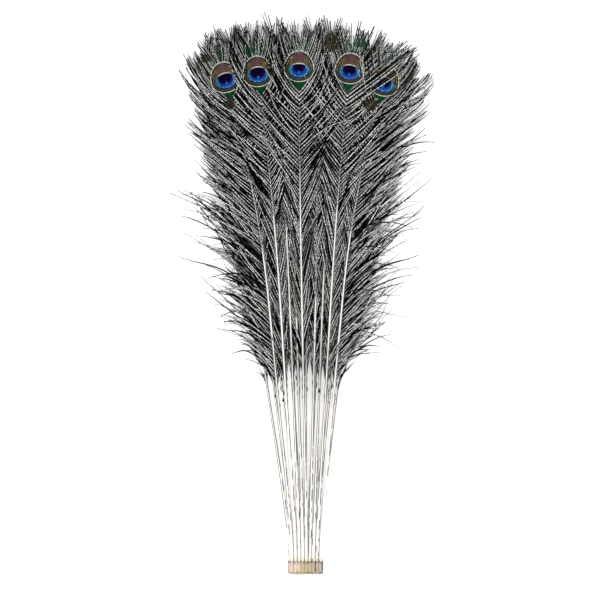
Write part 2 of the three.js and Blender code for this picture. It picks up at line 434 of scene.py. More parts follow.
# Single barbs that have worked loose on the bunch's two edges: where they leave the shaft and where
# their tips lie. They start along the other barbs and curve away.
STRAY_LEAN = 40
STRAY_FULLNESS = (0.40, 0.70)
STRAY_ROOTS = (0.29, 0.50)
STRAY_AHEAD = (0.000, 0.085)
STRAY_REACH = (0.004, 0.050)
STRAY_WOBBLE = 0.0016
STRAY_TURNS = (5, 12)
STRAY_MARGIN = 0.006
STRAY_DROOP = 0.5
STRAY_COUNT = 26
STRAY_BARBS = {
    17: [
        (0.490, -0.1855, 0.547), (0.478, -0.1910, 0.535), (0.474, -0.178, 0.541), (0.450, -0.176, 0.503),
        (0.420, -0.1700, 0.477), (0.400, -0.178, 0.444), (0.425, -0.162, 0.468), (0.385, -0.132, 0.419),
        (0.370, -0.129, 0.398), (0.360, -0.124, 0.405), (0.350, -0.127, 0.378), (0.345, -0.120, 0.360),
        (0.338, -0.117, 0.350), (0.300, -0.103, 0.311), (0.290, -0.088, 0.300), (0.315, -0.098, 0.330),
    ],
    4: [(0.455, -0.171, 0.512), (0.382, -0.140, 0.432), (0.345, -0.112, 0.386), (0.318, -0.096, 0.342)],
    16: [
        (0.500, 0.160, 0.564), (0.490, 0.158, 0.552), (0.440, 0.162, 0.500), (0.430, 0.158, 0.489),
        (0.420, 0.153, 0.473), (0.400, 0.158, 0.449), (0.385, 0.158, 0.430), (0.380, 0.153, 0.421),
        (0.360, 0.135, 0.395), (0.370, 0.140, 0.410), (0.345, 0.144, 0.357), (0.315, 0.132, 0.318),
        (0.300, 0.104, 0.322), (0.295, 0.120, 0.338), (0.330, 0.112, 0.352), (0.290, 0.090, 0.312),
    ],
    3: [(0.462, 0.158, 0.520), (0.392, 0.146, 0.442), (0.350, 0.118, 0.372), (0.322, 0.102, 0.346)],
}

# The ribbon of one barb, wider and brighter in the core, narrower at the eye
BARB_WIDTH = 0.0023
EYE_BARB_WIDTH = 0.0018
CORE_SWELL = 0.45
WIDTH_VARIETY = (0.85, 1.15)
ROOT_SWELL = 0.35
ROOT_LENGTH = 0.12
TAPER = (0.60, 0.42)
TAPER_START = 0.55
BARBULE_SHORT = 0.6
BARBULE_SWEEP = 0.5
RIDGE_RISE = 0.16
ROLL_VARIETY = 0.30
EYE_BARB_ROLL = 0.3
FLOOR_CLEAR = 0.0001
TONE_PERIOD = 0.0058
SILVER_TONE = 0.80
DARK_TONE = 0.16
CORE_TONE = 0.30
TONE_VARIETY = 0.14
TONE_START = (0.232, 0.272)
TONE_CLASSES = 64
AT_EYE = 0.25


def eye_places(points, order, heart=0.0):
    """Where points lie from the middle of the eye's rim, across and along the shaft there, in millimetres,
    and how wide the eye's dark heart is against the middle feather's, or 0 where only the back shows."""
    feather = FEATHERS[order]
    line = shaft_line(feather, layer_of(order))
    centre = line(feather["eye_y"] + EYE_CENTRE)
    ahead = (line(feather["eye_y"]) - line(feather["eye_y"] - 0.02))[:2]
    ahead = ahead / np.linalg.norm(ahead)
    away = (points[..., :2] - centre[:2]) * 1000
    across = away @ np.array([ahead[1], -ahead[0]])
    along = away @ ahead
    return np.stack([across, along, np.full(across.shape, heart)], -1)


def barb_places(feather, start, end):
    """Where the barbs of one side sit along the shaft: close together at the eye, closest at its crown."""
    eye_y, head = feather["eye_y"], feather["head"]
    places = []
    y = start
    while y < end:
        places.append(y)
        near = float(smooth(y, eye_y + CLOSING_ZONE[0] * head, eye_y + CLOSING_ZONE[1] * head))
        crown = float(smooth(y, eye_y + CROWN_ZONE[0], eye_y + CROWN_ZONE[1]))
        step = LOOSE_SPACING + (EYE_SPACING - LOOSE_SPACING) * near
        y += step + (CROWN_SPACING - step) * crown
    return np.array(places)


def barb_measures(feather, start):
    """The barbs' places, lengths and leans at the stations where they are known."""
    low = [(start + at, length * feather["body"], lean) for at, length, lean in LOW_BARBS]
    eye_y, head = feather["eye_y"], feather["head"]
    eye = [(eye_y + at * head, length * head, lean) for at, length, lean in EYE_BARBS]
    return np.transpose(low + eye)


def barb_paths(order, side, draw, stations):
    """The middle lines of one side's barbs, (barbs, stations, 3), how near each one is to the eye, and
    how closely it hugs the shaft."""
    feather = FEATHERS[order]
    eye_y, head = feather["eye_y"], feather["head"]
    at, lengths, leans = barb_measures(feather, vane_start(feather))
    y = barb_places(feather, at[0], at[-1])
    count = len(y)
    line = shaft_line(feather, layer_of(order))
    root = line(y)
    ahead = line(y + 0.001) - root
    heading = np.arctan2(ahead[:, 0], ahead[:, 1])
    near_eye = smooth(y, eye_y + NEAR_EYE[0] * head, eye_y + NEAR_EYE[1] * head)
    loose = 1 - near_eye
    outer = side * feather["eye_x"] > 0
    reach_over = smooth(y, *OVERLAP_START) * (1 - smooth(y, *OVERLAP_END)) * (outer and order in OVERLAPPING)

    clump = np.repeat(np.arange(count), draw.integers(*CLUMP_SIZE, count))[:count]
    clump_middle = np.array([y[clump == c].mean() for c in clump])
    clump_reach = draw.normal(1, CLUMP_VARIETY, count)[clump]
    outward = side * root[:, 0] / (CORE_HALF_WIDTH * spread(y) / spread(MID_HEIGHT))
    hugging = (1 - smooth(outward, *CORE_FADE)) * (1 - smooth(y, *CORE_END))
    length = np.interp(y, at, lengths) * clump_reach
    length = length * (1 + draw.normal(0, LENGTH_VARIETY + LENGTH_VARIETY * near_eye))
    length = length * (1 - draw.uniform(0, CORE_SHORTENING, count) * hugging)
    length = length * (1 + OVERLAP * reach_over)

    freedom = EYE_LEAN_SHARE + (1 - EYE_LEAN_SHARE) * loose
    lean = np.interp(y, at, leans) + draw.normal(0, LEAN_VARIETY, count) * freedom
    lean = lean + OVERLAP_LEAN * reach_over
    lean = lean + np.degrees((y - clump_middle) / np.maximum(length, SHORT_BARB)) * CLUMP_PULL * loose
    lean = lean * (1 - HUGGING * hugging) + draw.normal(0, CORE_LEAN_VARIETY, count) * hugging
    around = smooth(y, eye_y + EYE_CURVE_ZONE[0], eye_y + EYE_CURVE_ZONE[1]) * smooth(lean, *EYE_CURVE_LEANS)
    around = around * (1 - OVERLAP_STRAIGHTER * reach_over)
    first = lean + LOOSE_CURVE[0] * loose + EYE_CURVE[0] * around
    last = lean + LOOSE_CURVE[1] * loose + EYE_CURVE[1] * around + draw.normal(0, TIP_VARIETY, count) * loose
    bend = draw.uniform(*BEND, count)

    chance = AWAY_CHANCE[0] + AWAY_CHANCE[1] * (1 - smooth(y, *AWAY_END))
    chance = chance * loose * (1.0 if outer else AWAY_INSIDE) * smooth(y, *AWAY_START)
    stray = draw.random(count) < chance
    last = np.where(stray, last + draw.uniform(*AWAY_TURN, count), last)
    bend = np.where(stray, draw.uniform(*AWAY_BEND, count), bend)

    share = np.linspace(0, 1, stations)[None]
    wave = draw.uniform(-WAVE, WAVE, (count, 1)) * loose[:, None]
    turns = draw.uniform(*WAVE_TURNS, (count, 1))
    phase = draw.uniform(0, 2 * math.pi, (count, 1))
    angle = first[:, None] + (last - first)[:, None] * share ** bend[:, None]
    angle = angle + wave * np.sin(share * turns + phase)
    turned = heading[:, None] + side * np.radians(angle)
    step = (length / (stations - 1))[:, None]
    path = np.zeros((count, stations, 3))
    path[:, 1:, 0] = np.cumsum(np.sin(turned[:, :-1]) * step, 1)
    path[:, 1:, 1] = np.cumsum(np.cos(turned[:, :-1]) * step, 1)
    slack = draw.normal(0, EDGE_SLACK, count)[clump] + draw.normal(0, EDGE_SLACK / 2, count)
    slack += np.where(stray, draw.uniform(*AWAY_REACH, count), 0)
    path = keep_within(path + root[:, None], slack)

    sag = SAG[0] + (SAG[1] - SAG[0]) * smooth(y, *SAG_ZONE)
    sag = sag + CORE_SAG * hugging * draw.uniform(*CORE_SAG_VARIETY, count)
    sag = sag * (LOWEST_SAG + (1 - LOWEST_SAG) * smooth(y, *LOWEST_SAG_ZONE))
    most_tilt = TILT[0] + (TILT[1] - TILT[0]) * smooth(y, *TILT_ZONE) * loose
    tilt = draw.normal(0, 1, (count, 1)) * most_tilt[:, None]
    cover = smooth(y, feather["bare"] - COVER_RISE, feather["bare"])
    lift = np.interp(y, *np.transpose(SHAFT_RADIUS)) * ROOT_LIFT * cover
    height = layer_height(layer_of(order), path[..., 1])
    path[..., 2] = height * (1 - sag[:, None] * share**SAG_CURVE) + tilt * share + lift[:, None]
    make_way(path, order, reach_over > 0.5)
    path[..., 2] = np.maximum(REST_GAP, path[..., 2])
    return path, near_eye, hugging


def make_way(path, order, reaching_over):
    """Takes barbs under the eyes and the bare shafts that lie below them but show, or over a crossed eye."""
    for lower in range(order + 1, SHOWN_FEATHERS):
        u, v, _ = np.moveaxis(eye_places(path, lower), -1, 0)
        inside = 1 - smooth(np.hypot(u / EYE_GUARD[0], v / EYE_GUARD[1]), *GUARD_FADE)
        face = layer_height(layer_of(lower), path[..., 1])
        over = np.maximum(face + OVER_EYE - path[..., 2], 0) * inside
        inside = inside * (1 - smooth(u * np.sign(-FEATHERS[lower]["eye_x"]), *BARE_EDGE))
        under = np.minimum(face - UNDER_EYE - path[..., 2], 0) * inside
        crosses = reaching_over & ((order, lower) in CROSSED_EYES)
        path[..., 2] += np.where(crosses[:, None], over, under)
    for lower in BARE_SHAFTS:
        feather = FEATHERS[lower]
        shaft = shaft_line(feather, layer_of(lower))(path[..., 1])
        beside = 1 - smooth(abs(path[..., 0] - shaft[..., 0]), *SHAFT_CLEAR)
        beside = beside * (1 - smooth(path[..., 1], feather["bare"] - COVER_RISE, feather["bare"]))
        path[..., 2] += np.minimum(shaft[..., 2] - UNDER_SHAFT - path[..., 2], 0) * beside * (order < lower)


def keep_within(path, slack):
    """Shortens the barbs whose tips would reach past the bunch's edges by more than their slack."""
    root = path[:, :1]
    y, left, right = np.transpose(EDGES)
    for _ in range(SHORTENINGS):
        tip = path[:, -1]
        edge = np.where(tip[:, 0] < 0, np.interp(tip[:, 1], y, left), np.interp(tip[:, 1], y, right)) + slack
        edge = np.minimum(edge, WIDEST)
        over = np.maximum(abs(tip[:, 0]) - edge, 0) / (abs(tip[:, 0] - root[:, 0, 0]) + 1e-9)
        path = root + (path - root) * np.clip(1 - over, SHORTEST, 1)[:, None, None]
    return path


def stray_paths(order, draw):
    """The middle lines of the single barbs that have worked loose and curve away from the bunch."""
    strays = np.array(STRAY_BARBS[order])
    side = np.sign(strays[0, 1])
    roots = draw.uniform(*STRAY_ROOTS, STRAY_COUNT)
    y, left, right = np.transpose(EDGES)
    ahead = draw.uniform(*STRAY_AHEAD, STRAY_COUNT)
    reach = np.interp(roots + ahead, y, left if side < 0 else right) + draw.uniform(*STRAY_REACH, STRAY_COUNT)
    reach = np.minimum(reach, WIDEST - STRAY_MARGIN)
    strays = np.concatenate([strays, np.stack([roots, side * reach, roots + ahead], -1)])
    layer = layer_of(order)
    line = shaft_line(FEATHERS[order], layer)
    root = line(strays[:, 0])
    ahead = line(strays[:, 0] + 0.001) - root
    away = np.arctan2(ahead[:, 0], ahead[:, 1]) + side * math.radians(STRAY_LEAN)
    tip = np.stack([strays[:, 1], strays[:, 2], layer_height(layer, strays[:, 2]) * STRAY_DROOP], -1)
    distance = np.linalg.norm(tip - root, axis=1)[:, None] * draw.uniform(*STRAY_FULLNESS, (len(root), 1))
    middle = root + distance * np.stack([np.sin(away), np.cos(away), np.zeros_like(away)], -1)
    share = np.linspace(0, 1, STATIONS_SHOWN)[None, :, None]
    path = root[:, None] * (1 - share) ** 2 + middle[:, None] * 2 * share * (1 - share)
    path = path + tip[:, None] * share**2
    wobble = draw.normal(0, STRAY_WOBBLE, (len(root), 1, 2))
    path[..., :2] += wobble * np.sin(share * draw.uniform(*STRAY_TURNS, (len(root), 1, 1))) * share
    path[..., 2] = np.maximum(path[..., 2], REST_GAP)
    return path


def barb_sheet(path, near_eye, hugging, side, draw):
    """The ribbons along the barbs' middle lines: a ridge with two fringed flanks. Points carry the place
    across the ribbon, the distance from its root and its tone: whether it shows the painted silver sheen or
    stays dark."""
    count, stations = path.shape[:2]
    share = np.linspace(0, 1, stations)[None]
    near = near_eye[:, None]
    forward = np.gradient(path, axis=1)
    forward[..., 2] = 0
    forward /= np.linalg.norm(forward, axis=2, keepdims=True)
    beside = np.stack([forward[..., 1], -forward[..., 0], np.zeros((count, stations))], -1)
    length = np.linalg.norm(np.diff(path, axis=1), axis=2).sum(1)

    swell = np.clip(ROOT_SWELL + (1 - ROOT_SWELL) * near + share / ROOT_LENGTH * (1 - ROOT_SWELL), 0, 1)
    swell = swell * (1 - (TAPER[0] - TAPER[1] * near) * smooth(share, TAPER_START, 1.0))
    width = BARB_WIDTH + (EYE_BARB_WIDTH - BARB_WIDTH) * near
    half = width * swell / 2 * draw.uniform(*WIDTH_VARIETY, (count, 1)) * (1 + CORE_SWELL * hugging[:, None])
    roll = draw.normal(0, ROLL_VARIETY, (count, 1)) * (1 - near) + EYE_BARB_ROLL * side * near
    level = beside * np.cos(roll)[..., None] + np.array([0, 0, 1.0]) * np.sin(roll)[..., None]
    even = (np.arange(stations) % 2 == 0)[None]
    columns = []
    for flank in (-1, 0, 1):
        long_barbule = even if flank < 0 else ~even
        reach = (half * np.where(long_barbule, 1, BARBULE_SHORT))[..., None]
        sweep = abs(flank) * BARBULE_SWEEP * long_barbule[..., None]
        point = path + flank * reach * level + sweep * reach * forward
        point[..., 2] += (1 - abs(flank)) * RIDGE_RISE * half * 2
        columns.append(point)
    grid = np.stack(columns, 2)
    grid[..., 2] = np.maximum(grid[..., 2], FLOOR_CLEAR)

    index = np.arange(grid[..., 0].size).reshape(count, stations, 3)
    quads = []
    for column in (0, 1):
        near_edge, far_edge = index[..., column], index[..., column + 1]
        corners = [near_edge[:, :-1], far_edge[:, :-1], far_edge[:, 1:], near_edge[:, 1:]]
        quads.append(np.stack(corners, -1).reshape(-1, 4))
    root_y = path[:, 0, 1]
    # Every other barb along the shaft gets the painted silver sheen and the one beside it stays dark: lit and
    # shaded copies of one barb
    bright = root_y % TONE_PERIOD < TONE_PERIOD / 2
    tone = np.where(bright, SILVER_TONE, DARK_TONE + CORE_TONE * hugging)
    tone = tone + draw.normal(0, TONE_VARIETY, count)
    tone = np.clip(tone * smooth(root_y, *TONE_START), 0, 0.99)
    tone = (np.floor(tone * TONE_CLASSES) + 0.5) / TONE_CLASSES
    carried = np.zeros(grid.shape)
    carried[..., 0] = np.array([-1, 0, 1])
    carried[..., 1] = (share * length[:, None])[..., None]
    carried[..., 2] = tone[:, None, None]
    carried = carried.reshape(-1, 3)
    at_eye = np.repeat(near_eye > AT_EYE, stations * 3)
    return dict(points=grid.reshape(-1, 3), faces=quads, carried=carried, finish=1, at_eye=at_eye)


# The eye
# Near the tip the barbs lie edge to edge and their barbules carry thin films that colour them by
# interference: a cream rim, a bronze dome, a blue lens with a violet heart, and green round it.
RIM_HALF_WIDTH = 21.0
RIM_WIDEST = -5.0
RIM_RISE = 27.0
RIM_DROP = 17.0
LID_CURVE = 0.026
LID_RISE = 9.0

SHEEN_SILVER = paint(250, 250, 248)
DARK = paint(4, 4, 4)
GREEN = paint(18, 84, 46)
DEEP_GREEN = paint(30, 66, 46)
CREAM = paint(238, 236, 224)
GOLD = paint(190, 160, 92)
BACK = paint(50, 46, 29)
CREST_GREEN = paint(52, 96, 70)
INDIGO = paint(34, 40, 132)
MAUVE = paint(98, 72, 72)
OLIVE = paint(112, 98, 68)
MOAT = paint(30, 32, 26)
MOAT_LINE = paint(128, 134, 112)
TEAL = paint(38, 104, 110)
TURQUOISE = paint(50, 128, 152)
AZURE = paint(14, 74, 158)
GLINT = paint(176, 176, 226)
NAVY = paint(16, 30, 84)
SOOT = paint(62, 66, 58)
VIOLET = paint(14, 6, 36)
SPARKLE_HIGHLIGHT = paint(150, 214, 236)

barb_finish, dye, shader = finish_of("feather_barb", 0.6, Specular_IOR_Level=0.0)
across, along, tone = dye.attribute("carried")
u, v, face = dye.attribute("eye_place")
dull, verdant, core_share = dye.attribute("shade")

# A loose barb's light ridge is painted as a bright silver sheen, broken by the barbules, and the barb is dark
# at its edges and its tip
bead = dye.noise(dye.place(along * 640.0, tone * 23.0, across * 0.4), 1.0, 1.0)
ridge = (abs(across) + core_share * 0.20).step(0.80, 0.30)
dark_tip = (1 - along.step(0.125, 0.085)) * (1 - core_share)
lit = ridge * tone.step(0.30, 0.72) * bead.step(0.32, 0.56) * (1 - dark_tip) * v.step(56.0, 36.0)
barb = dye.mix(lit, DARK, SHEEN_SILVER)

from_widest = v - RIM_WIDEST
rise = dye.math("MAXIMUM", from_widest, 0.0) / RIM_RISE
drop = dye.math("MINIMUM", from_widest, 0.0) / RIM_DROP
wide = u / RIM_HALF_WIDTH
egg = (wide * wide + rise * rise + drop * drop).root()


def oval(centre_v, half_width, half_height):
    """1 on the outline of an oval round the eye's axis, less inside it and more outside."""
    x, y = u / half_width, (v - centre_v) / half_height
    return (x * x + y * y).root()


# Green round the rim: a glow beside it, a wedge below it and a crest above it
mottle = dye.noise(dye.place(u * 0.7, v * 0.7, tone * 3.0), 1.0)
side_glow = egg.step(1.55, 1.1) * mottle.step(0.45, 0.62)
colour = dye.mix(side_glow * 0.5, barb, DEEP_GREEN)
wedge = (abs(u) + (v + 22.0) * -0.6).step(11.5, 6.5) * v.step(-19.0, -23.0) * v.step(-40.0, -31.0)
colour = dye.mix(wedge, colour, DARK)
colour = dye.mix(wedge * (0.30 + ridge * 0.60) * mottle.step(0.30, 0.50), colour, GREEN)
crest = egg.step(1.0, 1.1) * oval(30.0, 22.0, 15.0).step(1.1, 0.4)
colour = dye.mix(crest * mottle.step(0.44, 0.56) * 0.75, colour, CREST_GREEN)

# Inside the rim: the dark moat with its hair lines and a line of gold, the bronze dome and the foot
colour = dye.mix(egg.step(1.0, 0.97), colour, MOAT)
hair = dye.math("SINE", egg * 62.0).step(0.2, 0.9) * mottle.step(0.40, 0.55)
colour = dye.mix(egg.step(1.0, 0.97) * hair * 0.6, colour, MOAT_LINE)
gold = egg.between(0.77, 0.80, 0.84, 0.87) * v.step(-15.0, -9.0) * abs(u).step(9.0, 12.0)
colour = dye.mix(gold * bead.step(0.40, 0.60) * 0.85, colour, GOLD)
dome = dye.mix(abs(u).step(5.0, 12.0), MAUVE, OLIVE)
dome = dye.mix(v.step(9.0, 2.0) * 0.8, dome, OLIVE)
colour = dye.mix(oval(-3.0, 14.0, 23.4).step(1.0, 0.96) * v.step(-4.0, -1.0), colour, dome)
colour = dye.mix(egg.step(0.88, 0.82) * v.step(-2.0, -8.0), colour, SOOT)

# The blue lens, darker at its lower edge and turquoise at its sides, under an arched lid
lens = oval(-5.6, 15.8, 11.4)
lid = v + u * u * LID_CURVE - (face - 1.0) * LID_RISE
blue = dye.mix(abs(u).step(8.0, 14.0), AZURE, TURQUOISE)
blue = dye.mix(v.step(-6.0, 1.0) * abs(u).step(7.0, 11.0) * 0.8, blue, TURQUOISE)
blue = dye.mix(u.step(-11.0, -15.0) * 0.8, blue, TEAL)
blue = dye.mix(lens.step(0.80, 0.92) * v.step(-4.0, -12.0), blue, NAVY)
# Pale painted highlights sparkle in a ring inside the lens
spark = dye.noise(dye.place(u * 0.9, v * 0.9, tone), 1.0).step(0.50, 0.60)
blue = dye.mix(spark * lens.between(0.60, 0.70, 0.82, 0.90) * 0.7, blue, SPARKLE_HIGHLIGHT)
colour = dye.mix(lens.step(1.0, 0.95) * lid.step(4.2, 3.2), colour, blue)

# The violet heart with a lighter foot, the cream brow over it, one glint, and the cream rim
heart = oval(-2.6, 9.6, 7.0) / face
beam = abs(u).step(2.4, 0.6) * v.step(-5.0, -8.0)
deep = dye.mix(heart.step(0.55, 0.95) * v.step(1.0, -4.0), VIOLET, INDIGO)
colour = dye.mix(heart.step(1.0, 0.90) * lid.step(3.6, 2.8) * (1 - beam), colour, deep)
brow = lid.between(2.8, 3.4, 4.1, 4.8) * abs(u).step(10.0, 6.0)
colour = dye.mix(brow * bead.step(0.2, 0.5) * 0.8, colour, CREAM)
colour = dye.mix(oval(-8.6, 1.2, 1.5).step(1.0, 0.5) * 0.25, colour, GLINT)
rim = egg.between(0.942, 0.960, 0.996, 1.014) * bead.step(0.24, 0.44)
colour = dye.mix(rim * 0.9, colour, CREAM)
# Each barb in the eye is painted lighter along its ridge and darker at its edges: painted shade of its relief
ridge_shading = 0.66 + ridge * 0.34 + bead * 0.25
shaded = dye.mix(ridge_shading, (0, 0, 0, 1), (1, 1, 1, 1))
colour = dye.mix(egg.step(1.1, 1.0), colour, shaded, "MULTIPLY")

# A covered eye shows a dull back, and dull and green patches lie between the upper barbs
back = dye.mix(egg.step(1.05, 0.7) * bead.step(0.2, 0.6) * 0.9, barb, BACK)
back = dye.mix(oval(28.0, 18.0, 14.0).step(1.1, 0.4) * bead.step(0.46, 0.58) * 0.4, back, CREST_GREEN)
colour = dye.mix(face, back, colour)
blotch = dye.noise(dye.place(u * 0.22, v * 0.22, tone * 0.5), 1.0, 3.0) * 1.6 - 0.8
through = 1 - lit * 0.12
colour = dye.mix((dull + blotch).step(0.30, 0.55) * through, colour, BACK)
colour = dye.mix((verdant + blotch).step(0.30, 0.55) * through * 0.85, colour, DEEP_GREEN)
colour.reach(shader, "Base Color")

# The feathers
# Each feather is one grown piece: its shaft with the barbs of both sides, one mesh in the place of
# its solid.

# Where the dull backs of covered eyes show between the barbs: across, along, half width, half
# height and tint, 0 for olive and 1 for green
DULL_PATCHES = [
    (0.0365, 0.745, 0.0115, 0.017, 0), (0.072, 0.745, 0.017, 0.009, 1), (0.090, 0.657, 0.011, 0.010, 0),
    (-0.105, 0.657, 0.009, 0.008, 0), (-0.138, 0.721, 0.008, 0.007, 0), (-0.078, 0.732, 0.009, 0.007, 1),
    (0.122, 0.734, 0.010, 0.007, 1), (-0.098, 0.762, 0.008, 0.006, 0),
]
PATCH_FADE = (0.6, 1.1)
PATCH_CLEAR_U = (15, 20)
PATCH_CLEAR_V = 27
CORE_SHADE_WIDTH = (0.8, 1.1)
CORE_SHADE_END = (0.50, 0.62)

# The flat map of a feather's colours: a row for each tone, a strip for the shaft, a field for the eye
MAP_MARGIN = 0.002
MAP_LOOSE = 0.60
MAP_LENGTH = 0.135
MAP_ROW_FILL = 0.42
MAP_SHAFT = (0.606, 0.634)
MAP_SHAFT_FILL = 0.45
MAP_SHAFT_RUN = (0.01, 1.2)
MAP_EYE = (0.64, 0.36)
MAP_EYE_SPAN = 150.0

# Each feather's barbs are drawn from a seed of its own
FIRST_SEED = 100


def mesh_piece(name, sheets, extra, finishes):
    """A mesh object from sheets of points and faces. Extra holds what else its points carry."""
    corners, sizes, slots = [], [], []
    start = 0
    for sheet in sheets:
        for faces in sheet["faces"]:
            corners.append((faces + start).ravel())
            sizes.append(np.full(len(faces), faces.shape[1]))
            slots.append(np.full(len(faces), sheet["finish"]))
        start += len(sheet["points"])
    points = np.concatenate([sheet["points"] for sheet in sheets])
    corners, sizes, slots = (np.concatenate(each) for each in (corners, sizes, slots))
    mesh = bpy.data.meshes.new(name)
    mesh.vertices.add(len(points))
    mesh.vertices.foreach_set("co", (points + QUILL_ENDS).ravel())
    mesh.loops.add(len(corners))
    mesh.loops.foreach_set("vertex_index", corners.astype(np.int32))
    mesh.polygons.add(len(sizes))
    mesh.polygons.foreach_set("loop_start", (np.cumsum(sizes) - sizes).astype(np.int32))
    mesh.polygons.foreach_set("material_index", slots.astype(np.int32))
    mesh.polygons.foreach_set("use_smooth", slots == 0)
    carries = {"carried": np.concatenate([sheet["carried"] for sheet in sheets])}
    carries.update(extra)
    for key, values in carries.items():
        mesh.attributes.new(key, "FLOAT_VECTOR", "POINT").data.foreach_set("vector", values.ravel())
    if "flat" in sheets[0]:
        flat = np.concatenate([sheet["flat"] for sheet in sheets])
        layer = mesh.uv_layers.new(name="OFBake")
        layer.uv.foreach_set("vector", flat[corners].ravel())
    for finish in finishes:
        mesh.materials.append(finish)
    mesh.update(calc_edges=True)
    piece = bpy.data.objects.new(name, mesh)
    bpy.context.scene.collection.objects.link(piece)
    return piece


def flat_places(sheet, places):
    """Where each point's colour lies on the flat map: the shaft in a strip, the barbs of one tone in a
    row of their own, and the barbs of the eye as they lie."""
    across, along, tone = np.transpose(sheet["carried"])
    if sheet["finish"] == 0:
        u = MAP_SHAFT[0] + (MAP_SHAFT[1] - MAP_SHAFT[0]) * (0.5 + across * MAP_SHAFT_FILL)
        flat = np.stack([u, MAP_SHAFT_RUN[0] + along * MAP_SHAFT_RUN[1]], -1)
    else:
        row = tone + across * MAP_ROW_FILL / TONE_CLASSES
        loose = np.stack([MAP_MARGIN + along / MAP_LENGTH * MAP_LOOSE, row], -1)
        eye = (places[:, :2] / MAP_EYE_SPAN + 0.5) * MAP_EYE[1]
        eye[:, 0] += MAP_EYE[0]
        flat = np.where(sheet["at_eye"][:, None], eye, loose)
    return np.clip(flat, 0.001, 0.999)


def shades(points, places, order):
    """How dull and how green each point is, and how far inside the core of the bunch it lies."""
    shade = np.zeros((len(points), 3))
    for x, y, half_width, half_height, tint in DULL_PATCHES:
        away = np.hypot((points[:, 0] - x) / half_width, (points[:, 1] - y) / half_height)
        outside = smooth(abs(places[:, 0]), *PATCH_CLEAR_U) if order < SHOWN_FEATHERS else 1.0
        outside = np.where(abs(places[:, 1]) > PATCH_CLEAR_V, 1.0, outside)
        shade[:, tint] = np.maximum(shade[:, tint], (1 - smooth(away, *PATCH_FADE)) * outside)
    core = CORE_HALF_WIDTH * spread(points[:, 1]) / spread(MID_HEIGHT)
    inward = 1 - smooth(abs(points[:, 0]) / (core + 1e-6), *CORE_SHADE_WIDTH)
    shade[:, 2] = inward * (1 - smooth(points[:, 1], *CORE_SHADE_END))
    return shade


for order, feather in enumerate(FEATHERS):
    draw = np.random.default_rng(FIRST_SEED + order)
    stations = STATIONS_SHOWN if order < SHOWN_FEATHERS else STATIONS_COVERED
    end = feather["eye_y"] + EYE_BARBS[-1][0] * feather["head"]
    sheets = [shaft_sheet(feather, layer_of(order), end, draw.random())]
    for side in (-1, 1):
        path, near_eye, hugging = barb_paths(order, side, draw, stations)
        sheets.append(barb_sheet(path, near_eye, hugging, side, draw))
    if order in STRAY_BARBS:
        path = stray_paths(order, draw)
        none = np.zeros(len(path))
        sheets.append(barb_sheet(path, none, none, 1, draw))
    points = np.concatenate([sheet["points"] for sheet in sheets])
    places = eye_places(points, order, feather["heart"])
    start = 0
    for sheet in sheets:
        sheet["flat"] = flat_places(sheet, places[start : start + len(sheet["points"])])
        start += len(sheet["points"])

    name = f"feather_{order + 1:02d}"
    extra = {"eye_place": places, "shade": shades(points, places, order)}
    plume = mesh_piece(name + "_plume", sheets, extra, [shaft_finish, barb_finish])
    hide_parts(name)
    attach(plume, "root")

# The band of tape
# The bunch is held by a strip of tan crepe tape, wound twice round the two rows of quills and
# pressed on, so that it dips a little between the quills and its edges are ragged.
TAPE_ROWS = 26
TAPE_STEP = 0.0006
TAPE_DIP = 0.00035
INNER_DIP = 0.6
TURN_EDGE = 0.0105
TURN_SLANT = 0.0030
TURN_STEP = 0.00016
TURN_SOFT = 0.0004
EDGE_ROUND = 0.4
EDGE_SHARE = 0.03
RAGGED_LOW = [(0.0003, 37, 0), (0.0002, 83, 1.0)]
RAGGED_HIGH = [(0.0004, 29, 2.0), (0.0003, 71, 0)]
CREASES = [(0.00006, 23, 900), (0.00005, 57, -1500)]
SALMON = paint(216, 186, 178)
PEACH = paint(226, 204, 182)
OCHRE = paint(190, 172, 146)
LILAC = paint(184, 174, 168)
DIP_SHADE = paint(140, 122, 96)
TAPE_DIRT_AND_SHADE = paint(46, 40, 34)


def belt_line(reach):
    """The line round both rows of quills at a distance from the outermost quills' axes, with its normals."""
    half = MIDDLE_PLACE * QUILL_PITCH
    low, high = LOWER_ROW_HEIGHT, LOWER_ROW_HEIGHT + ROW_RISE
    lower_row = [(-half - ROW_STAGGER, low), (half - ROW_STAGGER, low)]
    upper_row = [(half + ROW_STAGGER, high), (-half + ROW_STAGGER, high)]
    corners = np.array(lower_row + upper_row)
    sides = np.roll(corners, -1, 0) - corners
    facing = np.arctan2(-sides[:, 0], sides[:, 1])
    places, normals = [], []
    for corner in range(4):
        before, after = facing[corner - 1], facing[corner]
        swing = (after - before) % (2 * math.pi)
        turns = before + np.linspace(0, swing, 2 + int(swing * reach / TAPE_STEP))
        places.append(np.repeat(corners[corner][None], len(turns), 0))
        normals.append(np.stack([np.cos(turns), np.sin(turns)], -1))
        share = np.arange(1, int(np.linalg.norm(sides[corner]) / TAPE_STEP))[:, None] * TAPE_STEP
        along = sides[corner] / np.linalg.norm(sides[corner])
        places.append(corners[corner] + along * share)
        normals.append(np.repeat([[math.cos(after), math.sin(after)]], len(share), 0))
    return np.concatenate(places), np.concatenate(normals)


def ripple(waves, turn, y=1.0):
    """A sum of small waves round the band, each with its height, its count and its slant."""
    return sum(height * np.sin(turn * count + slant * y) for height, count, slant in waves)


